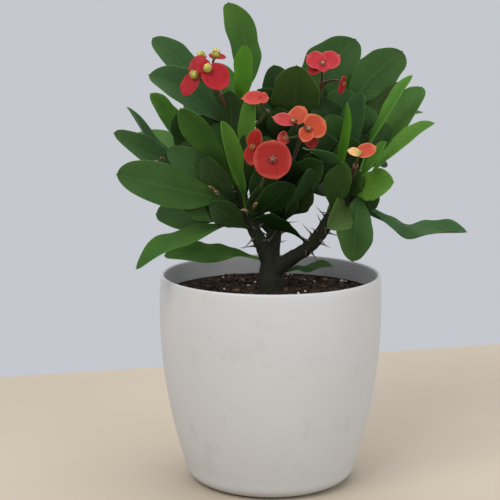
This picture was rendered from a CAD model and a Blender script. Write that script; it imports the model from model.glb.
import math
import random
from typing import NamedTuple

import bmesh
import bpy
from mathutils import Matrix, Vector, noise


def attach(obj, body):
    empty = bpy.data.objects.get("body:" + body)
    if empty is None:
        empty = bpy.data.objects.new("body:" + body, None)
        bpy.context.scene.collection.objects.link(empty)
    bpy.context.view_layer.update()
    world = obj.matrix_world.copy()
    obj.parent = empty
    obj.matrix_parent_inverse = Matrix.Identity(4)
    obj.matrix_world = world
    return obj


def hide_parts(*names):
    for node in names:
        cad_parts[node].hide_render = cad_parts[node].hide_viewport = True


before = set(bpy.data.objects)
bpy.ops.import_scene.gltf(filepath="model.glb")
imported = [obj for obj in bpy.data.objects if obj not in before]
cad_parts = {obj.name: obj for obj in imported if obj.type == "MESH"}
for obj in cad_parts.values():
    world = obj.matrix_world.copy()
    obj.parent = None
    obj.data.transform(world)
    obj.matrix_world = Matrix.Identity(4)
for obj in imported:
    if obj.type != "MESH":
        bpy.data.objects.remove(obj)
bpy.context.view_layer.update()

# ---- Camera, light and floor ----
# A long lens a little above the pot's rim, looking slightly down on the plant's best side.
# The light is a soft daylight from the upper left and front, and the floor is plain and pale.

MM = 0.001
UP = Vector((0, 0, 1))

camera_data = bpy.data.cameras.new("camera")
camera_data.sensor_width = 36
camera_data.lens = 96.7
camera_data.clip_start = 0.01
camera = bpy.data.objects.new("camera", camera_data)
camera.location = (-0.014, -0.9, 0.315)
camera.rotation_euler = (math.radians(80.15), 0, 0)
bpy.context.scene.collection.objects.link(camera)
bpy.context.scene.camera = camera
bpy.context.scene.view_settings.view_transform = "Standard"


def add_lamp(name, place, target, size, watts, colour):
    """A soft square lamp that looks from one place towards another."""
    lamp = bpy.data.lights.new(name, "AREA")
    lamp.shape = "SQUARE"
    lamp.size = size
    lamp.energy = watts
    lamp.color = colour
    holder = bpy.data.objects.new(name, lamp)
    holder.location = place
    holder.rotation_euler = (Vector(target) - Vector(place)).to_track_quat("-Z", "Y").to_euler()
    bpy.context.scene.collection.objects.link(holder)


add_lamp("key", (-0.9, -1.3, 1.7), (0, 0, 0.18), 1.2, 30, (1.0, 0.99, 0.975))
add_lamp("fill", (1.5, -1.2, 0.9), (0, 0, 0.18), 1.6, 15, (0.95, 0.98, 1.0))
add_lamp("top", (0.2, 0.5, 1.8), (0, 0, 0.2), 1.4, 17, (1.0, 1.0, 1.0))

world = bpy.data.worlds.new("studio")
world.use_nodes = True
world.node_tree.nodes["Background"].inputs["Color"].default_value = (0.78, 0.80, 0.86, 1)
world.node_tree.nodes["Background"].inputs["Strength"].default_value = 0.72
bpy.context.scene.world = world


def mesh_object(name, bm, finishes, smooth=True):
    """An object in metres from a bmesh in millimetres, with its finishes as material slots."""
    bmesh.ops.scale(bm, vec=(MM, MM, MM), verts=bm.verts)
    mesh = bpy.data.meshes.new(name)
    bm.to_mesh(mesh)
    bm.free()
    if smooth:
        mesh.shade_smooth()
    for finish in finishes:
        mesh.materials.append(finish)
    piece = bpy.data.objects.new(name, mesh)
    bpy.context.scene.collection.objects.link(piece)
    return piece


class Value:
    """A shader value: arithmetic on it adds Math nodes to its material."""

    def __init__(self, finish, socket):
        self.finish = finish
        self.socket = socket

    def maths(self, operation, *others):
        return self.finish.node("ShaderNodeMath", {"operation": operation}, dict(enumerate((self, *others))))

    def __add__(self, other):
        return self.maths("ADD", other)

    __radd__ = __add__

    def __mul__(self, other):
        return self.maths("MULTIPLY", other)

    __rmul__ = __mul__

    def __sub__(self, other):
        return self.maths("SUBTRACT", other)

    def __rsub__(self, other):
        return self.finish.node("ShaderNodeMath", {"operation": "SUBTRACT"}, {0: other, 1: self})

    def __truediv__(self, other):
        return self.maths("DIVIDE", other)

    def __pow__(self, other):
        return self.maths("POWER", other)

    def __abs__(self):
        return self.maths("ABSOLUTE")

    def clamp(self, low, high):
        """How far the value has come from low to high, smoothly, from 0 to 1."""
        settings = {"interpolation_type": "SMOOTHSTEP"}
        return self.finish.node("ShaderNodeMapRange", settings, {"Value": self, "From Min": low, "From Max": high})


class Finish:
    """A material under construction, with one method that makes any of its nodes."""

    def __init__(self, name, **constants):
        self.material = bpy.data.materials.new(name)
        self.material.use_nodes = True
        self.tree = self.material.node_tree
        self.shader = self.tree.nodes["Principled BSDF"]
        for socket, value in constants.items():
            self.shader.inputs[socket.replace("_", " ").title().replace("Ior", "IOR")].default_value = value

    def node(self, kind, settings=None, inputs=None, output=0):
        """One node: its settings first, then values or links on its sockets. Gives one output."""
        made = self.tree.nodes.new(kind)
        for name, value in (settings or {}).items():
            if name == "stops":
                ramp = made.color_ramp.elements
                while len(ramp) < len(value):
                    ramp.new(1.0)
                for stop, (place, colour) in zip(ramp, value):
                    stop.position = place
                    stop.color = (*colour, 1.0)
            else:
                setattr(made, name, value)
        self.fill(made, inputs or {})
        return Value(self, made.outputs[output])

    def fill(self, node, inputs):
        """Values or links for a node's sockets."""
        for name, value in inputs.items():
            if isinstance(value, Value):
                self.tree.links.new(value.socket, node.inputs[name])
            else:
                node.inputs[name].default_value = value

    def surface(self, **inputs):
        """Links that feed the main shader."""
        self.fill(self.shader, {name.replace("_", " ").title(): value for name, value in inputs.items()})

    def mix(self, share, first, second, blend="MIX"):
        """A colour between two colours."""
        inputs = {0: share, 6: self.colour(first), 7: self.colour(second)}
        return self.node("ShaderNodeMix", {"data_type": "RGBA", "blend_type": blend}, inputs, 2)

    def colour(self, value):
        return value if isinstance(value, Value) else (*value, 1.0)

    def noise(self, place, scale, detail=3.0, roughness=0.55):
        """Fractal noise from 0 to 1 at a place; scale is in cycles for each metre."""
        inputs = {"Vector": place, "Scale": scale, "Detail": detail, "Roughness": roughness}
        return self.node("ShaderNodeTexNoise", None, inputs)

    def place(self):
        return self.node("ShaderNodeTexCoord", None, None, 3)

    def bump(self, height, depth, strength=1.0):
        """A normal from a height in shares of a depth in metres."""
        inputs = {"Height": height, "Distance": depth, "Strength": strength}
        self.surface(normal=self.node("ShaderNodeBump", None, inputs))


floor_mesh = bmesh.new()
bmesh.ops.create_grid(floor_mesh, x_segments=1, y_segments=1, size=1000)
bmesh.ops.translate(floor_mesh, verts=floor_mesh.verts, vec=(0, -694, 0))
bmesh.ops.rotate(floor_mesh, verts=floor_mesh.verts, cent=(0, 0, 0), matrix=Matrix.Rotation(0.259, 3, "Z"))
floor_finish = Finish("pale_floor", roughness=0.6)
floor_grain = floor_finish.noise(floor_finish.place(), 6.0)
floor_finish.surface(base_color=floor_finish.mix(floor_grain, (0.44, 0.37, 0.28), (0.49, 0.42, 0.325)))
floor = mesh_object("floor", floor_mesh, [floor_finish.material])

# ---- Pot ----
# One injection-moulded pot in off-white satin plastic. The wall swells gently and turns in again
# at a thin rounded lip; the inside shows above the soil. Fine dust and faint drips dull the gloss.

POT_WALL = 2.4
POT_SIDES = 128


def wall_radius(height):
    """Outer radius of the pot's wall at a height."""
    return 75.7 - 0.00147 * (118.0 - height) ** 2


def turned(profile, sides):
    """A bmesh spun about the Z axis from (radius, height) points that start and end on the axis."""
    bm = bmesh.new()
    points = [bm.verts.new((radius, 0, height)) for radius, height in profile]
    edges = [bm.edges.new(pair) for pair in zip(points, points[1:])]
    bmesh.ops.spin(
        bm, geom=points + edges, cent=(0, 0, 0), axis=UP, angle=math.tau, steps=sides, use_merge=True
    )
    bmesh.ops.remove_doubles(bm, verts=bm.verts, dist=1e-3)
    bmesh.ops.recalc_face_normals(bm, faces=bm.faces)
    return bm


def pot_profile():
    """The pot's outline: foot, rounded edge, wall, lip, inner wall and floor."""
    foot_top = wall_radius(10)
    foot = [
        (45 + (foot_top - 45) * math.sin(turn), 10 * (1 - math.cos(turn)))
        for turn in (math.radians(15 * step) for step in range(7))
    ]
    wall = [(wall_radius(height), height) for height in range(14, 142, 4)]
    rim = wall_radius(143) - POT_WALL / 2
    lip = [
        (rim + POT_WALL / 2 * math.cos(turn), 141.8 + POT_WALL / 2 * math.sin(turn))
        for turn in (math.radians(30 * step) for step in range(7))
    ]
    inner = [(radius - POT_WALL, height) for radius, height in reversed(wall)]
    return [(0, 0), (44, 0)] + foot[1:] + wall + lip + inner + [(44, 4), (0, 4)]


def pot_finish():
    """Off-white satin plastic with a faint flow mottle, dust and a few dried drips."""
    finish = Finish("pot_plastic", specular_ior_level=0.4)
    place = finish.place()
    mottle = finish.noise(place, 22.0, 4.0)
    stretched = finish.node("ShaderNodeMapping", None, {"Vector": place, "Scale": (1.0, 1.0, 0.14)})
    drips = finish.noise(stretched, 150.0, 4.0, 0.65).clamp(0.62, 0.80)
    smudges = finish.noise(place, 38.0, 6.0, 0.7).clamp(0.54, 0.74)
    clean = finish.mix(mottle, (0.508, 0.506, 0.503), (0.544, 0.542, 0.539))
    worn = finish.mix(drips * 0.30, clean, (0.40, 0.375, 0.345))
    finish.surface(base_color=finish.mix(smudges * 0.32, worn, (0.37, 0.345, 0.32)))
    finish.surface(roughness=0.36 + 0.14 * mottle + 0.10 * smudges)
    finish.bump(finish.noise(place, 900.0, 2.0), 0.00006, 0.5)
    return finish.material


pot = mesh_object("pot_shell", turned(pot_profile(), POT_SIDES), [pot_finish()])
pot.data.set_sharp_from_angle(angle=math.radians(50))
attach(pot, "root")
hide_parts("pot")

# ---- Soil ----
# Dark potting mix that fills the pot to about a centimetre below the rim. It is made of crumbs of
# peat, chips of bark and white grains of perlite, heaped a little on both sides of the trunk.

SOIL_TOP = 131.0


def soil_height(x, y):
    """Height of the soil's surface: two low heaps beside the trunk and some unevenness."""
    heaps = 1.6 * math.exp(-((x - 42) ** 2 + (y + 5) ** 2) / 500)
    heaps += 1.9 * math.exp(-((x + 38) ** 2 + (y + 5) ** 2) / 450)
    bumps = 1.6 * noise.fractal(Vector((x, y, 0)) * 0.06, 0.8, 2.0, 4)
    settled = 4.0 * (math.hypot(x, y) / 72) ** 4
    return SOIL_TOP + 1.5 * heaps + bumps - settled


def soil_finish():
    """Damp peat: nearly black brown, with reddish crumbs and a rough, matt surface."""
    finish = Finish("soil_peat", roughness=0.95, specular_ior_level=0.2)
    place = finish.place()
    crumbs = finish.noise(place, 420.0, 5.0, 0.7)
    patches = finish.noise(place, 60.0, 3.0)
    dark = finish.mix(crumbs, (0.006, 0.004, 0.003), (0.060, 0.030, 0.018))
    finish.surface(base_color=finish.mix(patches.clamp(0.5, 0.75) * 0.5, dark, (0.075, 0.040, 0.024)))
    finish.bump(crumbs, 0.0012, 0.9)
    return finish.material


def make_soil():
    """The soil's body: a turned plug whose top follows the heaps."""
    side = [(wall_radius(height) - POT_WALL - 0.5, height) for height in (129, 110, 80, 50, 30, 16)]
    surface = [(1.6 * step, SOIL_TOP) for step in range(1, 45)]
    bm = turned([(0, SOIL_TOP)] + surface + side + [(44, 4.4), (0, 4.4)], 120)
    for vert in bm.verts:
        if vert.co.z > SOIL_TOP - 0.5:
            grain = noise.fractal(vert.co * 0.35, 0.7, 2.0, 4)
            vert.co.z = soil_height(vert.co.x, vert.co.y) + 0.9 * grain
    return mesh_object("soil_body", bm, [soil_finish()])


def scatter(name, count, sizes, flatness, seed, finish, reach=70.0):
    """Crumbs of one kind, strewn over the soil's surface and pressed a little into it."""
    draw = random.Random(seed)
    heap = bmesh.new()
    lump = bpy.data.meshes.new("lump")
    for _ in range(count):
        angle = draw.uniform(0, math.tau)
        distance = reach * math.sqrt(draw.uniform(0.02, 1.0))
        x, y = distance * math.cos(angle), distance * math.sin(angle)
        size = draw.uniform(*sizes)
        bm = bmesh.new()
        crumb = bmesh.ops.create_icosphere(bm, subdivisions=1, radius=size)["verts"]
        turn = Matrix.Rotation(draw.uniform(0, math.tau), 3, "Z") @ Matrix.Rotation(draw.gauss(0, 0.5), 3, "X")
        stretch = Vector((draw.uniform(0.7, 1.6), draw.uniform(0.6, 1.1), flatness * draw.uniform(0.7, 1.2)))
        offset = Vector((draw.random(), draw.random(), draw.random())) * 9
        for vert in crumb:
            knobbly = 1 + 0.45 * noise.noise(vert.co / size + offset)
            vert.co = turn @ (vert.co * knobbly * stretch)
            vert.co += Vector((x, y, soil_height(x, y) + 0.35 * size * flatness))
        bm.to_mesh(lump)
        bm.free()
        heap.from_mesh(lump)
    bpy.data.meshes.remove(lump)
    return mesh_object(name, heap, [finish], smooth=False)


def crumb_finish(name, first, second):
    """A dry crumb: two tones that change from one end of the pot to the other and within a crumb."""
    finish = Finish(name, roughness=0.9, specular_ior_level=0.25)
    place = finish.place()
    coarse = finish.noise(place, 190.0, 2.0)
    finish.surface(base_color=finish.mix(coarse.clamp(0.35, 0.65), first, second))
    finish.bump(finish.noise(place, 1500.0, 3.0), 0.0003, 0.8)
    return finish.material


soil = make_soil()
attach(soil, "root")
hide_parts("soil")
for crumb_name, crumb_count, crumb_sizes, crumb_flatness, crumb_seed, first_tone, second_tone in (
    ("peat_crumbs", 1500, (0.7, 2.2), 0.8, 11, (0.009, 0.006, 0.004), (0.042, 0.024, 0.015)),
    ("bark_chips", 190, (1.0, 2.4), 0.5, 12, (0.060, 0.030, 0.015), (0.150, 0.082, 0.044)),
    ("perlite_grains", 75, (0.6, 1.5), 0.9, 13, (0.62, 0.58, 0.50), (0.80, 0.78, 0.74)),
):
    crumbs = scatter(
        crumb_name, crumb_count, crumb_sizes, crumb_flatness, crumb_seed,
        crumb_finish(crumb_name, first_tone, second_tone),
    )
    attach(crumbs, "root")

# ---- Stem ----
# The woody stem: a short thick trunk that forks into three main branches, and these fork again.
# Its bark is grey-brown and wrinkled below, greener towards the growing tips.

# Each branch is a run of centreline points with the radius there, in millimetres: (x, y, z, radius).
BRANCHES = {
    "trunk": [(0, 0, 98, 7.6), (0, 0, 114, 7.8), (0, 0, 131, 8.2), (0, 0, 143, 7.6), (0, 0, 154, 6.8)],
    "left": [
        (0, 0, 150, 6.2),
        (-7, -5, 165, 4.8),
        (-14, -10, 180, 4.3),
        (-19, -15, 194, 4.2),
        (-21, -16, 212, 4.0),
        (-22, -13, 234, 3.8),
        (-20, -10, 255, 3.5),
    ],
    "right": [
        (0, 0, 143, 6.2),
        (13, -4, 153, 5.0),
        (25, -10, 162, 4.6),
        (34, -15, 174, 4.4),
        (42, -20, 188, 4.3),
        (52, -22, 199, 4.3),
        (62, -20, 212, 4.0),
    ],
    "middle": [
        (0, 0, 150, 6.2),
        (3, 8, 170, 5.0),
        (9, 15, 191, 4.4),
        (14, 18, 218, 4.0),
        (18, 17, 244, 3.6),
    ],
    "back_left": [(3, 8, 170, 4.4), (-14, 18, 184, 4.2), (-33, 24, 198, 3.9), (-51, 25, 215, 3.6)],
    "back_right": [(9, 15, 191, 4.1), (26, 26, 206, 3.9), (42, 29, 222, 3.7), (52, 27, 240, 3.4)],
    "right_upper": [(42, -20, 188, 4.0), (47, -8, 206, 3.8), (48, -3, 227, 3.6), (44, 0, 245, 3.3)],
}
STEM_SIDES = 20


def curve_point(points, share):
    """Centre, direction and radius of a smooth curve through points (x, y, z, radius)."""
    steps = len(points) - 1
    step = min(int(share * steps), steps - 1)
    part = share * steps - step
    before, start, end, after = (points[min(max(step + k, 0), steps)] for k in (-1, 0, 1, 2))
    place = []
    slope = []
    for a, b, c, d in zip(before, start, end, after):
        bend = (2 * a - 5 * b + 4 * c - d) * part + (3 * b - a - 3 * c + d) * part**2
        place.append(b + 0.5 * part * (c - a + bend))
        slope.append(c - a + 2 * part * (2 * a - 5 * b + 4 * c - d) + 3 * part**2 * (3 * b - a - 3 * c + d))
    return Vector(place[:3]), Vector(slope[:3]).normalized(), place[3]


def grow_tube(bm, stations, sides):
    """A closed tube grown through (centre, direction, radius) stations by extruding a circle."""
    centre, direction, radius = stations[0]
    turn = UP.rotation_difference(direction)
    ring = bmesh.ops.create_circle(bm, cap_ends=True, segments=sides, radius=radius)["verts"]
    for vert in ring:
        vert.co = centre + turn @ vert.co
    face = next(f for f in ring[0].link_faces if len(f.verts) == sides)
    face.normal_update()
    if face.normal.dot(direction) > 0:
        face.normal_flip()
    edges = list(face.edges)
    for centre_next, direction_next, radius_next in stations[1:]:
        grown = bmesh.ops.extrude_edge_only(bm, edges=edges)["geom"]
        turn = direction.rotation_difference(direction_next)
        for vert in (item for item in grown if isinstance(item, bmesh.types.BMVert)):
            vert.co = centre_next + turn @ (vert.co - centre) * (radius_next / radius)
        edges = [
            item for item in grown if isinstance(item, bmesh.types.BMEdge) and len(item.link_faces) == 1
        ]
        centre, direction, radius = centre_next, direction_next, radius_next
    bmesh.ops.holes_fill(bm, edges=edges)


def bark_finish():
    """Bark: grey-brown and cracked on old wood, green-grey towards the tips, with pale lenticels."""
    finish = Finish("bark", roughness=0.85, specular_ior_level=0.2)
    place = finish.place()
    height = finish.node("ShaderNodeSeparateXYZ", None, {"Vector": place}, 2)
    age = height.clamp(0.150, 0.215)
    wrinkled = finish.node("ShaderNodeMapping", None, {"Vector": place, "Scale": (1.0, 1.0, 0.45)})
    ridges = finish.noise(wrinkled, 520.0, 5.0, 0.65)
    blotches = finish.noise(place, 130.0, 3.0)
    old = finish.mix(blotches, (0.009, 0.011, 0.006), (0.030, 0.032, 0.019))
    young = finish.mix(blotches, (0.010, 0.020, 0.005), (0.030, 0.040, 0.014))
    wood = finish.mix(age, old, young)
    finish.surface(base_color=finish.mix(ridges.clamp(0.56, 0.76) * 0.40, wood, (0.085, 0.078, 0.062)))
    finish.bump(ridges, 0.0011, 1.0)
    return finish.material


def make_stem(finish):
    """Trunk and branches as tubes, fused into one skin and wrinkled a little along their length."""
    bm = bmesh.new()
    for name, points in BRANCHES.items():
        count = 10 * (len(points) - 1)
        stations = [curve_point(points, step / count) for step in range(count + 1)]
        if name != "trunk":
            end, direction, radius = stations[-1]
            stations += [
                (end + direction * radius * 0.45, direction, radius * 0.85),
                (end + direction * radius * 0.75, direction, radius * 0.45),
            ]
        grow_tube(bm, stations, STEM_SIDES)
    bmesh.ops.recalc_face_normals(bm, faces=bm.faces)
    stem = mesh_object("stem_wood", bm, [finish])
    fuse = stem.modifiers.new("fuse", "REMESH")
    fuse.mode = "VOXEL"
    fuse.voxel_size = 0.9 * MM
    fuse.use_smooth_shade = True
    soften = stem.modifiers.new("soften", "SMOOTH")
    soften.factor = 0.5
    soften.iterations = 4
    depsgraph = bpy.context.evaluated_depsgraph_get()
    skin = bpy.data.meshes.new_from_object(stem.evaluated_get(depsgraph))
    stem.modifiers.clear()
    stem.data = skin
    normals = [vert.normal.copy() for vert in skin.vertices]
    for vert, normal in zip(skin.vertices, normals):
        place = vert.co / MM
        rings = noise.fractal(Vector((place.x * 0.35, place.y * 0.35, place.z * 0.16)), 0.8, 2.0, 4)
        vert.co += normal * rings * 0.5 * MM
    skin.shade_smooth()
    return stem


bark = bark_finish()
stem = make_stem(bark)
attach(stem, "root")
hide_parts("stem")

# ---- Thorns ----
# Straight grey spines, about a centimetre long, that stand out all round the stem in a spiral.
# Each grows from a swollen cushion in the bark and narrows to a dark, sharp point.

# Stretches that carry thorns: the branch, where the row starts and ends, and its count.
THORN_ROWS = [
    ("left", 0.12, 0.98, 34),
    ("right", 0.30, 0.98, 34),
    ("middle", 0.16, 0.97, 26),
    ("back_left", 0.25, 0.97, 16),
    ("back_right", 0.25, 0.97, 16),
    ("right_upper", 0.20, 0.97, 14),
]


def thorn_finish():
    """Thorn: grey-brown at its foot, nearly black towards the point, slightly shiny."""
    finish = Finish("thorn", roughness=0.55)
    tone = finish.noise(finish.place(), 260.0, 2.0)
    finish.surface(base_color=finish.mix(tone, (0.035, 0.028, 0.025), (0.130, 0.110, 0.100)))
    return finish.material


def make_thorns():
    """All thorns, placed by the golden angle along each stretch."""
    draw = random.Random(5)
    bm = bmesh.new()
    for branch, first, last, count in THORN_ROWS:
        for index in range(count):
            at = first + (last - first) * index / (count - 1)
            centre, direction, radius = curve_point(BRANCHES[branch], at)
            across = direction.orthogonal().normalized()
            out = Matrix.Rotation(index * math.radians(137.5) + draw.gauss(0, 0.2), 3, direction) @ across
            out = (out + draw.uniform(0.0, 0.45) * direction).normalized()
            length = draw.uniform(8, 13)
            droop = Vector((draw.gauss(0, 0.5), draw.gauss(0, 0.5), draw.gauss(0, 0.5)))
            stations = [(centre + out * (radius - 0.8), out, 1.5)]
            for share, thickness in ((0.10, 0.75), (0.25, 0.45), (0.6, 0.28), (1.0, 0.08)):
                place = centre + out * (radius + length * share) + droop * share**2
                stations.append((place, out, thickness))
            grow_tube(bm, stations, 6)
    bmesh.ops.recalc_face_normals(bm, faces=bm.faces)
    return mesh_object("thorns", bm, [thorn_finish()])


thorns = make_thorns()
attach(thorns, "root")

# ---- Flower stalks ----
# Thin reddish-brown stalks that leave the branches near their tips, bend up and end in a small
# knob, from which the flower heads of one cluster fan out.

STALK_RADIUS = 1.2
KNOB_RADIUS = 2.1


class Stalk(NamedTuple):
    """A flower cluster's stalk: where it leaves a branch, and the centre of the knob at its end."""

    branch: str
    at: float
    knob: tuple


STALKS = {
    "top_left_stalk": Stalk("left", 0.93, (-33, -32, 266)),
    "single_stalk": Stalk("left", 0.88, (-3, -26, 254)),
    "front_stalk": Stalk("left", 0.50, (-4, -46, 220)),
    "middle_stalk": Stalk("middle", 0.74, (19, -32, 240)),
    "top_stalk": Stalk("middle", 0.97, (34, -6, 272)),
    "right_stalk": Stalk("right", 0.86, (53, -48, 221)),
}


def foot_on_branch(branch, at, towards, clearance):
    """The point on a branch's skin, plus a clearance, on the side that looks towards a point."""
    centre, direction, radius = curve_point(BRANCHES[branch], at)
    out = towards - centre
    out = (out - out.dot(direction) * direction).normalized()
    return centre + out * (radius + clearance), out


def bent_path(start, bend, end, radii):
    """Stations of a tube that leaves start towards bend and arrives at end."""
    stations = []
    for step, radius in enumerate(radii):
        part = step / (len(radii) - 1)
        place = start.lerp(bend, part).lerp(bend.lerp(end, part), part)
        stations.append((place, (bend - start).lerp(end - bend, part).normalized(), radius))
    return stations


def stalk_finish():
    """Flower stalk: dull green that is flushed with reddish brown."""
    finish = Finish("flower_stalk", roughness=0.55)
    flush = finish.noise(finish.place(), 90.0, 3.0).clamp(0.35, 0.65)
    finish.surface(base_color=finish.mix(flush, (0.055, 0.070, 0.022), (0.100, 0.035, 0.020)))
    finish.bump(finish.noise(finish.place(), 900.0, 2.0), 0.0002, 0.6)
    return finish.material


def make_stalks(finish):
    """The six stalks with their knobs."""
    bm = bmesh.new()
    for stalk in STALKS.values():
        knob = Vector(stalk.knob)
        foot, out = foot_on_branch(stalk.branch, stalk.at, knob, -1.5)
        bend = foot + out * 0.4 * (knob - foot).length
        stations = bent_path(foot, bend, knob, [STALK_RADIUS * 1.5] + [STALK_RADIUS] * 9)
        last = stations[-1][1]
        for along, radius in ((-0.6, 1.5), (0, 2.1), (0.6, 1.9), (1.0, 1.2)):
            stations.append((knob + last * along * KNOB_RADIUS, last, radius))
        del stations[9]
        grow_tube(bm, stations, 10)
    bmesh.ops.recalc_face_normals(bm, faces=bm.faces)
    return mesh_object("flower_stalks", bm, [finish])


stalk_skin = stalk_finish()
stalks = make_stalks(stalk_skin)
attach(stalks, "root")

# ---- Leaves ----
# Spoon-shaped leaves: a short stalk, a long taper and a round end with a tiny point. Each blade is
# thickest along its midrib, folds a little about it, arches along its length and waves at its edge.

LEAF_STEPS_LONG = 26
LEAF_STEPS_WIDE = 10
WIDEST_SHARE = 0.66
PETIOLE_SHARE = 0.06
PETIOLE_HALF_WIDTH = 1.1
MIDRIB_THICKNESS = 1.5


class Leaf(NamedTuple):
    """A leaf: its branch, how far along it grows, its tip, its green and how its blade lies."""

    branch: str
    at: float
    tip: tuple
    width: float
    roll: float
    green: str
    arch: float = 3.0
    cup: float = 0.2
    sweep: float = 0.0
    twist: float = 0.0
    wave: float = 0.8
    waist: float = 0.0
    sky: tuple = (0, 0, 1)


LEAVES = {
    "leaf_01": Leaf("left", 0.95, (-78, -5, 301), 20, -60, "bluish", arch=3, cup=0.15),
    "leaf_02": Leaf("left", 0.86, (-79, -30, 278), 27, -60, "bluish", arch=4, cup=0.35, sweep=4, twist=10),
    "leaf_03": Leaf("back_left", 0.97, (-81, 8, 264), 16, -75, "bright", arch=3, cup=0.3),
    "leaf_04": Leaf("back_left", 0.88, (-96, 2, 255), 20, -45, "misty", arch=-5, cup=0.25, sweep=-8, twist=60),
    "leaf_05": Leaf("left", 0.60, (-58, -50, 258), 17, -130, "mid", arch=-3, cup=0.2),
    "leaf_06": Leaf("back_left", 0.74, (-103, -22, 240), 21, -60, "bluish", arch=3, cup=0.25, sweep=-6),
    "leaf_07": Leaf("left", 0.50, (-98, -58, 217), 30, -65, "deep", arch=4, cup=0.18, sweep=-2),
    "leaf_08": Leaf("left", 0.39, (-77, -6, 184), 26, -55, "deep", arch=4, cup=0.2),
    "leaf_09": Leaf("left", 0.32, (-87, -50, 155), 17, -30, "mid", arch=9, cup=0.25, sweep=3, twist=10, wave=2.4),
    "leaf_10": Leaf("left", 0.06, (-72, -2, 155), 17, -50, "mid", arch=6, cup=0.4, wave=2.6),
    "leaf_11": Leaf("left", 0.99, (-28, -15, 324), 23, -110, "mid", arch=2, cup=0.1, sweep=9, waist=0.2),
    "leaf_12": Leaf("left", 0.93, (-17, -36, 297), 13, -5, "bright", arch=-2, cup=0.45),
    "leaf_13": Leaf("left", 0.58, (-12, -46, 268), 13, 135, "bright", arch=2, cup=0.4),
    "leaf_14": Leaf("left", 0.46, (-32, -52, 250), 13, -120, "bright", arch=2, cup=0.5),
    "leaf_15": Leaf("middle", 0.97, (57, 14, 300), 35, 75, "deep", arch=3, cup=0.12, sweep=-5),
    "leaf_16": Leaf("right_upper", 0.98, (88, 10, 292), 27, 70, "deep", arch=3, cup=0.12, sweep=-4),
    "leaf_17": Leaf("right_upper", 0.50, (86, 16, 271), 32, 65, "olive", arch=2, cup=0.15, sweep=5),
    "leaf_18": Leaf("right_upper", 0.45, (59, -24, 266), 18, 105, "bluish", arch=2, cup=0.25),
    "leaf_19": Leaf("right", 0.62, (47, -48, 261), 10, -75, "bright", arch=3, cup=0.35),
    "leaf_20": Leaf("right", 0.96, (92, -14, 277), 14, 5, "bright", arch=4, cup=0.3, twist=40),
    "leaf_21": Leaf("right", 0.99, (102, 12, 268), 22, 25, "mid", arch=4, cup=0.3),
    "leaf_22": Leaf("right", 0.97, (107, -16, 246), 15, 30, "bright", arch=5, cup=0.6),
    "leaf_23": Leaf("right", 0.92, (73, -42, 236), 9, 80, "bright", arch=1, cup=0.4, wave=0.3),
    "leaf_24": Leaf("right", 0.86, (76, -64, 213), 22, 75, "bright", arch=4, cup=0.2),
    "leaf_25": Leaf("right", 0.90, (52, -50, 160), 23, -10, "deep", arch=6, cup=0.2),
    "leaf_26": Leaf("right", 0.78, (129, -24, 175), 16, 25, "misty", arch=-7, cup=0.2, wave=4.5),
    "leaf_27": Leaf("right", 0.76, (34, -77, 186), 20, -60, "olive", arch=5, cup=0.5),
    "leaf_28": Leaf("right", 0.88, (20, -71, 234), 18, -5, "misty", arch=4, cup=0.25),
    "leaf_29": Leaf("middle", 0.30, (24, -42, 219), 17, -165, "bluish", arch=3, cup=0.25),
    "leaf_30": Leaf("left", 0.43, (12, -56, 211), 20, -30, "dark", arch=-7, cup=0.3),
    "leaf_31": Leaf("right", 0.36, (-11, -26, 184), 17, 30, "dark", arch=3, cup=0.25),
    "leaf_32": Leaf("middle", 0.60, (38, -19, 198), 21, 15, "dark", arch=4, cup=0.2),
    "leaf_33": Leaf("middle", 0.87, (16, -28, 284), 32, 175, "olive", arch=3, cup=0.15),
    "leaf_34": Leaf("middle", 0.92, (2, 8, 283), 22, -140, "bluish", arch=3, cup=0.2),
    "leaf_35": Leaf("trunk", 0.72, (43, 18, 144), 10, 25, "deep", arch=2, cup=0.3, wave=1.6),
    "leaf_36": Leaf("back_left", 0.98, (-50, 82, 262), 25, 10, "deep", arch=4, cup=0.2),
    "leaf_37": Leaf("back_left", 0.80, (-96, 66, 232), 26, -15, "mid", arch=5, cup=0.2),
    "leaf_38": Leaf("back_left", 0.50, (-66, 84, 186), 24, -10, "bluish", arch=6, cup=0.2),
    "leaf_39": Leaf("back_right", 0.98, (68, 84, 278), 26, 10, "deep", arch=4, cup=0.2),
    "leaf_40": Leaf("back_right", 0.75, (108, 56, 248), 24, 10, "mid", arch=5, cup=0.25),
    "leaf_41": Leaf("back_right", 0.50, (84, 80, 206), 25, 5, "bluish", arch=6, cup=0.2),
    "leaf_42": Leaf("middle", 0.88, (12, 82, 276), 27, 0, "deep", arch=5, cup=0.2),
    "leaf_43": Leaf("middle", 0.55, (-14, 90, 232), 26, 0, "mid", arch=6, cup=0.2),
    "leaf_44": Leaf("middle", 0.38, (34, 90, 200), 22, 10, "bluish", arch=7, cup=0.2),
}

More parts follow.
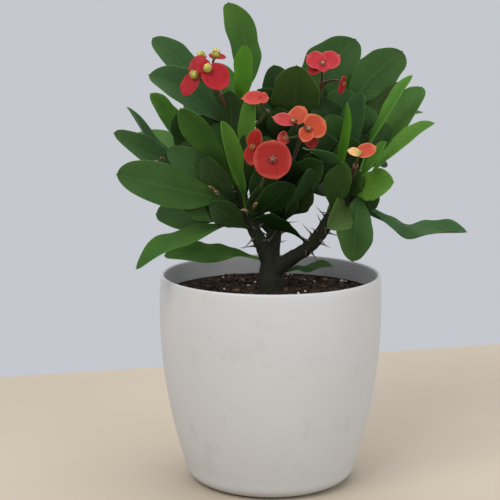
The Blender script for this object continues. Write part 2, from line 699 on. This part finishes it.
# Shorter leaves deep in the crown and close to the branches, which face the light at the front.
FRONT = (0, -1, 0.25)
BACK = (0, 1, 0.4)
INNER_LEAVES = {
    "inner_leaf_01": Leaf("left", 0.74, (-27, -28, 268), 19, -20, "dark", sky=FRONT),
    "inner_leaf_02": Leaf("middle", 0.84, (-3, -4, 266), 22, 15, "deep", sky=FRONT),
    "inner_leaf_03": Leaf("left", 0.48, (-44, -36, 226), 17, -25, "dark", sky=FRONT),
    "inner_leaf_04": Leaf("left", 0.72, (-53, -14, 250), 21, -15, "dark", sky=FRONT),
    "inner_leaf_05": Leaf("back_left", 0.92, (-64, 6, 250), 22, 10, "deep", sky=FRONT),
    "inner_leaf_06": Leaf("left", 0.56, (-60, -14, 232), 22, 15, "dark", sky=FRONT),
    "inner_leaf_07": Leaf("left", 0.52, (-18, -36, 240), 16, 25, "dark", sky=FRONT),
    "inner_leaf_08": Leaf("middle", 0.80, (4, -14, 256), 21, -15, "dark", sky=FRONT),
    "inner_leaf_09": Leaf("middle", 0.66, (22, -14, 248), 22, 10, "dark", sky=FRONT),
    "inner_leaf_10": Leaf("right_upper", 0.80, (33, -10, 262), 22, -20, "dark", sky=FRONT),
    "inner_leaf_11": Leaf("right_upper", 0.95, (47, 2, 268), 22, 10, "deep", sky=FRONT),
    "inner_leaf_12": Leaf("right_upper", 0.52, (50, -26, 238), 20, 15, "deep", sky=FRONT),
    "inner_leaf_13": Leaf("middle", 0.48, (33, -32, 222), 22, -10, "deep", sky=FRONT),
    "inner_leaf_14": Leaf("right", 0.82, (56, -42, 218), 18, -20, "deep", sky=FRONT),
    "inner_leaf_15": Leaf("right_upper", 0.72, (66, -2, 256), 24, 15, "deep", sky=FRONT),
    "inner_leaf_16": Leaf("right", 0.95, (78, -6, 244), 21, 10, "deep", sky=FRONT),
    "inner_leaf_17": Leaf("right", 0.80, (70, -32, 202), 18, 20, "dark", sky=FRONT),
    "inner_leaf_18": Leaf("middle", 0.50, (12, -26, 224), 21, 10, "dark", sky=FRONT),
    "inner_leaf_19": Leaf("left", 0.34, (-8, -38, 206), 17, 20, "dark", sky=FRONT),
    "inner_leaf_20": Leaf("left", 0.30, (-40, -34, 196), 17, -15, "dark", sky=FRONT),
    "inner_leaf_21": Leaf("left", 0.40, (-56, -24, 206), 20, -10, "deep", sky=FRONT),
    "inner_leaf_22": Leaf("middle", 0.94, (27, 8, 276), 23, 10, "deep", sky=FRONT),
    "inner_leaf_23": Leaf("middle", 0.90, (4, 14, 272), 22, -20, "bluish", sky=FRONT),
    "inner_leaf_24": Leaf("left", 0.64, (-38, -22, 246), 20, 10, "deep", sky=FRONT),
    "inner_leaf_25": Leaf("left", 0.84, (-44, -8, 268), 20, -10, "deep", sky=FRONT),
    "inner_leaf_26": Leaf("left", 0.60, (-2, -24, 238), 19, 20, "deep", sky=FRONT),
    "inner_leaf_27": Leaf("right_upper", 0.40, (34, -24, 240), 20, -25, "dark", sky=FRONT),
    "inner_leaf_28": Leaf("middle", 0.38, (26, -28, 205), 19, 15, "dark", sky=FRONT),
    "inner_leaf_39": Leaf("middle", 0.86, (-9, -14, 268), 22, 0, "deep", sky=FRONT),
    "inner_leaf_40": Leaf("left", 0.90, (-12, -24, 262), 17, 10, "dark", sky=FRONT),
    "inner_leaf_41": Leaf("right", 0.66, (46, -50, 224), 18, -10, "deep", sky=FRONT),
    "inner_leaf_42": Leaf("left", 0.36, (-62, -40, 200), 22, 10, "deep", sky=FRONT),
    "inner_leaf_43": Leaf("middle", 0.52, (38, -22, 228), 22, 10, "dark", sky=FRONT),
    "inner_leaf_44": Leaf("left", 0.34, (2, -32, 212), 18, 10, "dark", sky=FRONT),
    "inner_leaf_45": Leaf("right_upper", 0.34, (62, -16, 238), 20, 10, "dark", sky=FRONT),
    "inner_leaf_46": Leaf("middle", 0.28, (12, -24, 206), 20, 0, "dark", sky=FRONT),
    "inner_leaf_47": Leaf("left", 0.52, (-67, -34, 231), 20, 0, "bluish", sky=FRONT),
    "inner_leaf_48": Leaf("left", 0.44, (0, -38, 224), 17, 15, "dark", sky=FRONT),
    "inner_leaf_49": Leaf("middle", 0.46, (2, -14, 222), 22, 0, "dark", sky=FRONT),
    "inner_leaf_50": Leaf("right_upper", 0.60, (38, -18, 252), 21, -10, "deep", sky=FRONT),
    "inner_leaf_51": Leaf("middle", 0.70, (-8, 0, 246), 22, 10, "dark", sky=FRONT),
    "inner_leaf_29": Leaf("back_right", 0.95, (64, 40, 276), 23, 0, "mid", sky=BACK),
    "inner_leaf_30": Leaf("back_right", 0.70, (40, 62, 252), 23, 10, "mid", sky=BACK),
    "inner_leaf_31": Leaf("middle", 0.80, (0, 48, 262), 23, -10, "mid", sky=BACK),
    "inner_leaf_32": Leaf("back_left", 0.90, (-34, 54, 246), 22, 10, "mid", sky=BACK),
    "inner_leaf_33": Leaf("back_left", 0.70, (-62, 50, 222), 22, 0, "deep", sky=BACK),
    "inner_leaf_34": Leaf("back_right", 0.45, (66, 56, 226), 22, -10, "deep", sky=BACK),
    "inner_leaf_35": Leaf("middle", 0.60, (16, 60, 236), 22, 15, "deep", sky=BACK),
    "inner_leaf_36": Leaf("left", 0.88, (-38, 18, 284), 22, 0, "mid", sky=BACK),
    "inner_leaf_37": Leaf("right_upper", 0.85, (72, 26, 262), 22, 0, "mid", sky=BACK),
    "inner_leaf_38": Leaf("back_left", 0.50, (-34, 56, 206), 20, 0, "deep", sky=BACK),
}

# The greens of the leaves: the blade near its midrib, and the blade near its edge.
GREENS = {
    "deep": ((0.0085, 0.040, 0.0035), (0.0150, 0.062, 0.0060)),
    "mid": ((0.0210, 0.080, 0.0055), (0.0330, 0.112, 0.0095)),
    "misty": ((0.0180, 0.064, 0.0200), (0.0310, 0.098, 0.0340)),
    "bright": ((0.0480, 0.150, 0.0110), (0.0750, 0.215, 0.0170)),
    "bluish": ((0.0100, 0.044, 0.0100), (0.0170, 0.066, 0.0170)),
    "olive": ((0.0230, 0.052, 0.0045), (0.0360, 0.072, 0.0070)),
    "dark": ((0.0045, 0.019, 0.0025), (0.0085, 0.031, 0.0040)),
}


def blade_finish(name, inner, outer, roughness):
    """Leaf skin: darker by the midrib, paler at the edge, with faint side veins and a satin shine."""
    finish = Finish(name, specular_ior_level=0.10)
    place = finish.place()
    blade = finish.node("ShaderNodeUVMap", {"uv_map": "blade"})
    along = finish.node("ShaderNodeSeparateXYZ", None, {"Vector": blade}, 1)
    across = abs(finish.node("ShaderNodeSeparateXYZ", None, {"Vector": blade}, 0) - 0.5) * 2
    mottle = finish.noise(place, 75.0, 4.0)
    fleck = finish.noise(place, 480.0, 3.0, 0.6)
    outward = across.clamp(0.0, 0.95) * 0.6 + mottle.clamp(0.35, 0.7) * 0.4
    skin = finish.mix(outward, inner, outer)
    lit = tuple(tone * gain for tone, gain in zip(outer, (1.9, 1.35, 0.9)))
    skin = finish.mix(finish.noise(place, 15.0, 2.0).clamp(0.45, 0.68) * 0.28, skin, lit)
    veins = ((along * 26 - across * 5.5) * math.tau / 2).maths("SINE")
    vein_lines = veins.clamp(0.80, 1.0) * across.clamp(0.03, 0.15)
    midrib = (1 - across.clamp(0.02, 0.11)) * (1 - along * 0.6)
    pale = tuple(0.55 * tone + share for tone, share in zip(outer, (0.040, 0.075, 0.018)))
    skin = finish.mix(vein_lines * 0.10, skin, pale)
    skin = finish.mix(midrib * 0.42, skin, pale)
    dark = tuple(0.55 * tone for tone in inner)
    finish.surface(base_color=finish.mix(fleck.clamp(0.55, 0.75) * 0.35, skin, dark))
    finish.surface(roughness=roughness + 0.16 * (fleck - 0.5) + 0.08 * (mottle - 0.5))
    finish.bump(fleck * 0.35 + vein_lines * 0.3 - midrib * 0.6, 0.0004, 0.8)
    return finish.material


def green_finishes(name):
    """A green's three finishes: the upper skin, the paler underside and the pale thin edge."""
    inner, outer = GREENS[name]
    under_inner = tuple(0.75 * tone + share for tone, share in zip(inner, (0.014, 0.026, 0.010)))
    under_outer = tuple(0.75 * tone + share for tone, share in zip(outer, (0.020, 0.034, 0.013)))
    edge = tuple(1.1 * tone + share for tone, share in zip(outer, (0.045, 0.075, 0.022)))
    return [
        blade_finish("leaf_" + name, inner, outer, 0.48),
        blade_finish("leaf_under_" + name, under_inner, under_outer, 0.60),
        blade_finish("leaf_edge_" + name, edge, edge, 0.50),
    ]


def blade_half_width(share, half_width):
    """Half the blade's width: a short stalk, a long taper, then a round end."""
    if share < WIDEST_SHARE:
        rise = max(share - PETIOLE_SHARE, 0) / (WIDEST_SHARE - PETIOLE_SHARE)
        return max(half_width * math.sin(rise * math.pi / 2) ** 1.35, PETIOLE_HALF_WIDTH)
    outline = math.sqrt(max(1 - ((share - WIDEST_SHARE) / (1 - WIDEST_SHARE)) ** 2, 0))
    return max(half_width * outline, 0.25)


def make_leaf(name, leaf, quirk, finishes):
    """One leaf: a grid shaped to the blade, then thickened and smoothed. Quirk varies its waves."""
    tip = Vector(leaf.tip)
    base, _ = foot_on_branch(leaf.branch, leaf.at, tip, -0.8)
    forward = (tip - base).normalized()
    length = (tip - base).length
    sky = Vector(leaf.sky)
    upright = (sky - sky.dot(forward) * forward).normalized()
    bm = bmesh.new()
    bmesh.ops.create_grid(bm, x_segments=LEAF_STEPS_LONG, y_segments=LEAF_STEPS_WIDE, size=1)
    blade = bm.loops.layers.uv.new("blade")
    thickness = bm.verts.layers.deform.new()
    for vert in bm.verts:
        vert.co.x = 1 - (1 - (vert.co.x + 1) / 2) ** 1.5
    for face in bm.faces:
        for loop in face.loops:
            loop[blade].uv = (0.5 + 0.5 * loop.vert.co.y, loop.vert.co.x)
    for vert in bm.verts:
        share, across = vert.co.x, vert.co.y
        edge = math.copysign(across**2, across)
        ripple = noise.noise(Vector((share * 6.0, quirk * 3.7, 2.0 * math.copysign(1, across))))
        half = blade_half_width(share, leaf.width / 2) * (1 + 0.20 * math.sqrt(leaf.wave) * ripple * abs(edge))
        half *= 1 - leaf.waist * math.exp(-(((share - 0.62) / 0.11) ** 2))
        roll = math.radians(leaf.roll + leaf.twist * (share - 0.5))
        upper = Matrix.Rotation(roll, 3, forward) @ upright
        side = forward.cross(upper)
        bow = 4 * share * (1 - share)
        fold = math.sqrt(across**2 + 0.02) - math.sqrt(0.02)
        lift = leaf.arch * bow + leaf.cup * half * fold
        waves = math.sin(share * 3 * math.pi) + 1.3 * ripple * bow
        lift += leaf.wave * across**2 * waves
        wander = leaf.sweep * bow + 0.8 * bow * noise.noise(Vector((share * 2, quirk * 5.1, 0)))
        point = 1.0 * (1 - abs(across)) ** 2 if share > 0.999 else 0
        vert.co = base + forward * (length * share + point)
        vert.co += side * (half * across + wander) + upper * lift
        midrib = math.exp(-((half * across / 1.0) ** 2)) * (1 - 0.75 * share)
        petiole = max(1 - share / 0.12, 0)
        vert[thickness][0] = min(0.22 + 0.10 * (1 - across**2) + 0.6 * midrib + petiole, 1.0)
    piece = mesh_object(name + "_blade", bm, finishes)
    piece.vertex_groups.new(name="thickness")
    body = piece.modifiers.new("body", "SOLIDIFY")
    body.thickness = MIDRIB_THICKNESS * MM
    body.offset = -0.6
    body.vertex_group = "thickness"
    body.material_offset = 1
    body.material_offset_rim = 2
    smooth = piece.modifiers.new("smooth", "SUBSURF")
    smooth.levels = 1
    smooth.render_levels = 1
    return piece


greens = {name: green_finishes(name) for name in GREENS}
for leaf_number, (leaf_name, leaf) in enumerate((LEAVES | INNER_LEAVES).items()):
    blade_piece = make_leaf(leaf_name, leaf, leaf_number + 1, greens[leaf.green])
    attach(blade_piece, "root")
    if leaf_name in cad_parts:
        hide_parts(leaf_name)

# ---- Dry bits ----
# What is left of shed leaves and flowers: small curled, papery scales in tan and brown, which still
# cling to the branches where they grew.

# Each scale: where it starts and ends, and its width at the middle, in millimetres.
DRY_SCALES = (
    ((-34, -30, 200), (-37, -38, 204), 3.0),
    ((-36, -30, 202), (-41, -36, 207), 2.2),
    ((-74, -12, 221), (-79, -22, 218), 2.6),
    ((-70, -12, 220), (-73, -24, 224), 2.4),
    ((-12, -34, 192), (-9, -42, 197), 2.8),
    ((-15, -34, 190), (-20, -42, 192), 2.0),
)


def make_dry_scales():
    """The dry scales, each a short tube that swells in the middle and comes to a point."""
    bm = bmesh.new()
    for start, end, width in DRY_SCALES:
        start, end = Vector(start), Vector(end)
        bend = start.lerp(end, 0.5) + Vector((0, 0, 1.6))
        grow_tube(bm, bent_path(start, bend, end, [0.4, width * 0.35, width * 0.5, width * 0.35, 0.2]), 6)
    bmesh.ops.recalc_face_normals(bm, faces=bm.faces)
    return mesh_object("dry_scales", bm, [cup_finish("dry_scale", (0.10, 0.050, 0.022), (0.34, 0.24, 0.12))])


def cup_finish(name, first, second):
    """A waxy or papery skin with darker and lighter patches."""
    finish = Finish(name, roughness=0.55)
    patches = finish.noise(finish.place(), 420.0, 3.0)
    finish.surface(base_color=finish.mix(patches.clamp(0.35, 0.65), first, second))
    finish.bump(patches, 0.0002, 0.6)
    return finish.material


dry_scales = make_dry_scales()
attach(dry_scales, "root")

# ---- Flower heads ----
# Each head is a small cup of true flowers between two petal-like bracts, on a thin bent stalk. The
# bracts are soft and slightly waxy, paler at the rim and darker where they meet the cup.


class Bract(NamedTuple):
    """A petal-like bract: the way it spreads, its size and how it bends."""

    turn: float
    length: float
    width: float
    tone: str
    tilt: float = 8.0
    widest: float = 0.4
    root: float = 0.6
    point: float = 0.8
    cup: float = 0.12
    overlap: float = 0.4


class Flower(NamedTuple):
    """A flower head: its cluster, its centre, where it faces, its bracts and its cup."""

    stalk: str
    centre: tuple
    faces: tuple
    bracts: tuple
    cup: str = "cup_red"
    cup_size: float = 1.0
    closed: bool = False


FLOWERS = {
    "flower_01": Flower(
        "top_left_stalk", (-44, -32, 288), (-0.3, -0.6, 0.75),
        (Bract(200, 6, 6, "crimson", 20), Bract(330, 5, 5, "crimson", 20)), "cup_yellow", 1.4, True,
    ),
    "flower_02": Flower(
        "top_left_stalk", (-37, -28, 289), (0.3, -0.4, 0.85),
        (Bract(-15, 8, 8, "crimson", 10), Bract(200, 6, 6, "crimson", 10)), "cup_yellow", 1.4, True,
    ),
    "flower_03": Flower(
        "top_left_stalk", (-41, -48, 282), (0.1, -0.9, 0.4),
        (Bract(-42, 17, 18, "crimson", 2), Bract(140, 9, 10, "crimson", 4)), "cup_yellow", 1.4, True,
    ),
    "flower_04": Flower(
        "top_left_stalk", (-48, -42, 278), (-0.35, -0.85, 0.3),
        (Bract(80, 14, 13, "crimson", 4), Bract(-118, 15, 12, "crimson", 4)), "cup_yellow", 1.4, True,
    ),
    "flower_05": Flower(
        "single_stalk", (-7, -48, 264), (0.1, -0.85, 0.5),
        (Bract(0, 5, 8, "coral", 4, 0.3, 0.8), Bract(180, 12, 10, "coral", 0, 0.35, 0.7, 1.8)), "cup_red", 0.4,
    ),
    "flower_06": Flower(
        "front_stalk", (0, -66, 227), (0.05, -0.95, 0.3),
        (
            Bract(0, 14.5, 25, "red", 3, 0.25, 0.93, 0.2, 0.08, 2.4),
            Bract(180, 14.5, 25, "red", 3, 0.25, 0.93, 0.2, 0.08, 2.4),
        ),
        "cup_dark", 1.1,
    ),
    "flower_07": Flower(
        "front_stalk", (-10, -56, 234), (-0.75, -0.6, 0.2),
        (Bract(90, 12, 16, "red", 10, 0.35), Bract(-90, 12, 16, "red", 10, 0.35)), "cup_red", 1.0,
    ),
    "flower_08": Flower(
        "middle_stalk", (14, -50, 249), (-0.2, -0.8, 0.5),
        (Bract(172, 14, 9, "pink", 15, 0.5, 0.5, 1.6), Bract(62, 12, 13, "orange", 8)), "cup_dark", 0.9,
    ),
    "flower_09": Flower(
        "middle_stalk", (22, -58, 245), (0.15, -0.9, 0.4),
        (Bract(25, 13, 17, "orange", 6), Bract(-115, 10, 10, "orange", 15), Bract(-70, 13, 10, "red", -25)),
        "cup_dark", 1.0,
    ),
    "flower_10": Flower(
        "middle_stalk", (10, -44, 239), (-0.6, -0.75, 0.1),
        (Bract(20, 7, 9, "pink", 55), Bract(200, 7, 9, "pink", 55)), "cup_yellow", 0.8,
    ),
    "flower_11": Flower(
        "top_stalk", (33, -22, 284), (0.0, -0.85, 0.5),
        (
            Bract(32, 13, 14, "rose", 6, 0.5, 0.6, 1.4),
            Bract(148, 12, 13, "rose", 6, 0.5, 0.6, 1.4),
            Bract(200, 12, 9, "crimson", -25),
            Bract(-85, 6, 9, "rose", 0),
        ),
        "cup_dark", 0.9,
    ),
    "flower_12": Flower(
        "top_stalk", (45, -16, 273), (0.7, -0.5, -0.4),
        (Bract(-60, 9, 9, "rose", 10, 0.5, 0.5, 1.2), Bract(120, 6, 7, "rose", 10)), "cup_red", 0.7,
    ),
    "flower_13": Flower(
        "right_stalk", (54, -62, 230), (0.1, -0.7, 0.7),
        (Bract(15, 12, 11, "orange", 20, 0.45, 0.6, 1.2), Bract(170, 8, 7, "cream", 15)), "cup_yellow", 0.8,
    ),
}

# The bracts' colours: near the cup, over most of the bract, and at its rim.
BRACT_TONES = {
    "crimson": ((0.14, 0.003, 0.006), (0.32, 0.007, 0.012), (0.38, 0.020, 0.026)),
    "rose": ((0.20, 0.005, 0.009), (0.38, 0.018, 0.026), (0.48, 0.08, 0.08)),
    "red": ((0.17, 0.004, 0.003), (0.27, 0.011, 0.006), (0.40, 0.060, 0.042)),
    "coral": ((0.26, 0.010, 0.010), (0.42, 0.045, 0.035), (0.52, 0.13, 0.10)),
    "orange": ((0.20, 0.007, 0.004), (0.40, 0.050, 0.017), (0.55, 0.18, 0.075)),
    "pink": ((0.25, 0.008, 0.010), (0.40, 0.036, 0.034), (0.50, 0.13, 0.10)),
    "cream": ((0.50, 0.16, 0.05), (0.62, 0.36, 0.14), (0.66, 0.50, 0.24)),
}
CUP_TONES = {
    "cup_red": ((0.16, 0.02, 0.01), (0.45, 0.10, 0.04)),
    "cup_dark": ((0.07, 0.012, 0.008), (0.20, 0.03, 0.015)),
    "cup_yellow": ((0.22, 0.20, 0.03), (0.48, 0.44, 0.08)),
}


def bract_finish(name, inner, middle, rim):
    """Bract: deep colour by the cup that pales towards the rim, with fine veins and a soft sheen."""
    finish = Finish(name, specular_ior_level=0.18)
    place = finish.place()
    blade = finish.node("ShaderNodeUVMap", {"uv_map": "blade"})
    along = finish.node("ShaderNodeSeparateXYZ", None, {"Vector": blade}, 1)
    across = abs(finish.node("ShaderNodeSeparateXYZ", None, {"Vector": blade}, 0) - 0.5) * 2
    mottle = finish.noise(place, 260.0, 3.0)
    outward = along.maths("MAXIMUM", across)
    skin = finish.mix((outward * 1.3 + mottle * 0.2).clamp(0.15, 0.55), inner, middle)
    skin = finish.mix(outward.clamp(0.72, 1.0) * 0.75, skin, rim)
    veins = (across * 34 + along * 3).maths("SINE").clamp(0.3, 1.0)
    finish.surface(base_color=finish.mix(veins * 0.05 + mottle * 0.25, skin, inner))
    finish.surface(roughness=0.50 + 0.12 * (mottle - 0.5))
    finish.bump(veins * 0.2 + mottle, 0.0002, 0.6)
    return finish.material


def bract_half_width(share, bract):
    """Half a bract's width at a share of its length: broad at its root and round at its end."""
    if share < bract.widest:
        outline = 1 - (1 - bract.root) * ((bract.widest - share) / bract.widest) ** 2
    else:
        outline = math.sqrt(max(1 - ((share - bract.widest) / (1 - bract.widest)) ** 2, 0))
    return max(bract.width / 2 * outline, 0.15)


def add_bract(bm, blade, bract, centre, facing, quirk, finish_index):
    """One bract of a head, shaped from a grid."""
    up = (UP - UP.dot(facing) * facing).normalized()
    right = up.cross(facing)
    turn = math.radians(bract.turn)
    out = right * math.cos(turn) + up * math.sin(turn)
    side = facing.cross(out)
    tilt = math.radians(bract.tilt)
    along_axis = out * math.cos(tilt) + facing * math.sin(tilt)
    normal = facing * math.cos(tilt) - out * math.sin(tilt)
    grid = bmesh.ops.create_grid(bm, x_segments=10, y_segments=8, size=1)["verts"]
    for vert in grid:
        vert.co.x = 1 - (1 - (vert.co.x + 1) / 2) ** 1.5
    faces = {face for vert in grid for face in vert.link_faces}
    for face in faces:
        face.material_index = finish_index
        for loop in face.loops:
            loop[blade].uv = (0.5 + 0.5 * loop.vert.co.y, loop.vert.co.x)
    for vert in grid:
        share, across = vert.co.x, vert.co.y
        ripple = noise.noise(Vector((share * 3 + quirk * 7.3, across * 1.5, quirk)))
        half = bract_half_width(share, bract)
        point = bract.point * (1 - abs(across)) ** 2 * share**6
        lift = bract.cup * half * across**2 - 0.10 * bract.length * share**2 + 0.9 * ripple * share
        vert.co = centre + normal * (1.0 + lift) + side * half * across * (1 + 0.08 * ripple)
        vert.co += along_axis * (bract.length * share + point - bract.overlap)


def make_bracts(name, flower, quirk, finishes):
    """The bracts of one head, thin and rounded at the rim."""
    facing = Vector(flower.faces).normalized()
    bm = bmesh.new()
    blade = bm.loops.layers.uv.new("blade")
    tones = sorted({bract.tone for bract in flower.bracts})
    for index, bract in enumerate(flower.bracts):
        centre = Vector(flower.centre) + facing * 0.35 * index
        add_bract(bm, blade, bract, centre, facing, quirk + 0.37 * index, tones.index(bract.tone))
    piece = mesh_object(name + "_bracts", bm, [finishes[tone] for tone in tones])
    body = piece.modifiers.new("body", "SOLIDIFY")
    body.thickness = 0.45 * MM
    body.offset = 0
    smooth = piece.modifiers.new("smooth", "SUBSURF")
    smooth.levels = 1
    smooth.render_levels = 1
    return piece


def make_cup(name, flower, around, finishes):
    """The cup of one head with its five glands and its stamens, and the head's own bent stalk."""
    centre = Vector(flower.centre)
    facing = Vector(flower.faces).normalized()
    knob = Vector(STALKS[flower.stalk].knob)
    middle = sum(((Vector(other.centre) - knob).normalized() for other in around), Vector()) / len(around)
    out = (((centre - knob).normalized() - middle) * 2.2 + middle).normalized()
    foot = knob + out * KNOB_RADIUS * 0.6
    neck = centre - facing * 1.0
    bend = neck - facing * 0.35 * (neck - foot).length
    size = flower.cup_size
    bm = bmesh.new()
    if flower.closed:
        shape = ((-0.8, 0.6), (0.0, 1.2), (1.2, 1.9), (2.6, 2.0), (3.8, 1.5), (4.4, 0.8))
    else:
        shape = ((-0.8, 0.6), (0.0, 1.2), (1.0, 1.75), (2.2, 2.0), (3.0, 1.75), (3.3, 1.0))
    ring, top = (0.95, 4.0) if flower.closed else (1.55, 2.95)
    grow_tube(bm, [(centre + facing * rise * size, facing, radius * size) for rise, radius in shape], 12)
    turn = UP.rotation_difference(facing).to_matrix()
    for gland in range(5):
        angle = math.tau * gland / 5 + 0.3
        ball = bmesh.ops.create_icosphere(bm, subdivisions=2, radius=0.85 * size)["verts"]
        for vert in ball:
            place = Vector((ring * math.cos(angle), ring * math.sin(angle), top)) * size
            vert.co = centre + turn @ (Vector((vert.co.x, vert.co.y, vert.co.z * 0.55)) + place)
    for face in bm.faces:
        face.material_index = 1
    for stamen in range(4 if size > 0.5 else 0):
        angle = math.tau * stamen / 4 + 0.8
        foot_place = centre + turn @ (Vector((0.5 * math.cos(angle), 0.5 * math.sin(angle), 2.8)) * size)
        top_place = centre + turn @ (Vector((0.8 * math.cos(angle), 0.8 * math.sin(angle), 4.4)) * size)
        along = (top_place - foot_place).normalized()
        grow_tube(bm, [(foot_place, along, 0.2), (top_place, along, 0.2)], 5)
        tips = bmesh.ops.create_icosphere(bm, subdivisions=1, radius=0.42)["verts"]
        for vert in tips:
            vert.co += top_place
            for face in vert.link_faces:
                face.material_index = 2
    grow_tube(bm, bent_path(foot, bend, neck, [0.95] + [0.8] * 9), 8)
    bmesh.ops.recalc_face_normals(bm, faces=bm.faces)
    return mesh_object(name + "_cup", bm, [stalk_skin, finishes[flower.cup], finishes["pollen"]])


bract_finishes = {tone: bract_finish("bract_" + tone, *colours) for tone, colours in BRACT_TONES.items()}
cup_finishes = {tone: cup_finish(tone, *colours) for tone, colours in CUP_TONES.items()}
cup_finishes["pollen"] = cup_finish("pollen", (0.30, 0.20, 0.03), (0.62, 0.50, 0.10))
for flower_number, (flower_name, flower) in enumerate(FLOWERS.items()):
    cluster = [other for other in FLOWERS.values() if other.stalk == flower.stalk]
    for head_piece, head_slot in (
        (make_bracts(flower_name, flower, flower_number + 1, bract_finishes), "bract"),
        (make_cup(flower_name, flower, cluster, cup_finishes), "bract"),
    ):
        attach(head_piece, "root")
        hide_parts(flower_name)
